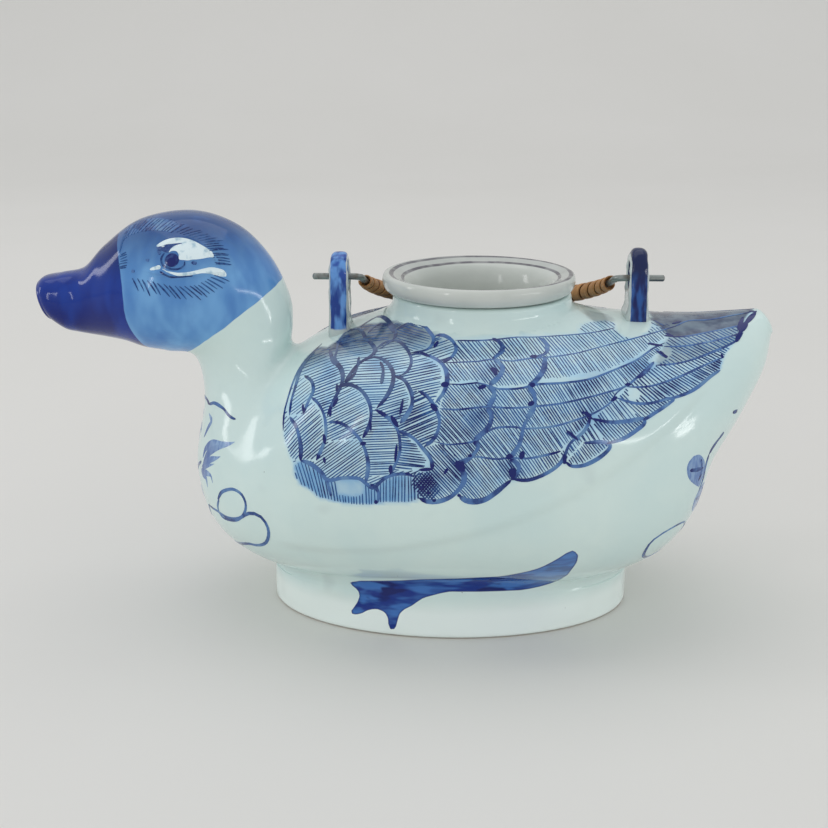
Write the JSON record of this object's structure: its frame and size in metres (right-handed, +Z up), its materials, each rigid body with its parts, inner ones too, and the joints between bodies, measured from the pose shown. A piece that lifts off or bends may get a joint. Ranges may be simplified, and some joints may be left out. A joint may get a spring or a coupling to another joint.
{
  "type": "duck-shaped porcelain teapot",
  "caption": "Porcelain teapot shaped as a sitting duck that pours through its beak, with a lift-out strainer cup in its back and a cane-wound wire handle that swings over it.",
  "frame": {"origin": "on the table, halfway between the beak's tip and the tail's tip, in the duck's plane of symmetry", "axes": "+X along the duck towards its tail, so the beak points along -X; +Z up; +Y towards the duck's right side, where the handle rests"},
  "size_m": [0.2476, 0.1194, 0.136],
  "materials": {
    "glaze": "clear gloss glaze over bluish white porcelain",
    "cobalt_glaze": "clear gloss glaze over cobalt blue",
    "wire": "dull drawn wire",
    "cane": "satin split cane"
  },
  "bodies": {
    "pot": {"body_shell": "glaze", "mouth_collar": "glaze", "foot_ring": "glaze", "front_lug": "cobalt_glaze", "rear_lug": "cobalt_glaze"},
    "infuser": {"infuser_cup": "glaze"},
    "bail": {"bail_wire": "wire", "grip_core": "cane", "cane_winding": "cane"}
  },
  "joints": [
    {"name": "infuser_lift", "type": "slide", "parent": "pot", "child": "infuser", "axis": [0, 0, 1], "range_m": [0, 0.07]},
    {"name": "bail_swing", "type": "hinge", "parent": "pot", "child": "bail", "pos_m": [0.0285, 0, 0.1142], "axis": [1, 0, 0], "range_deg": [0, 218]}
  ]
}
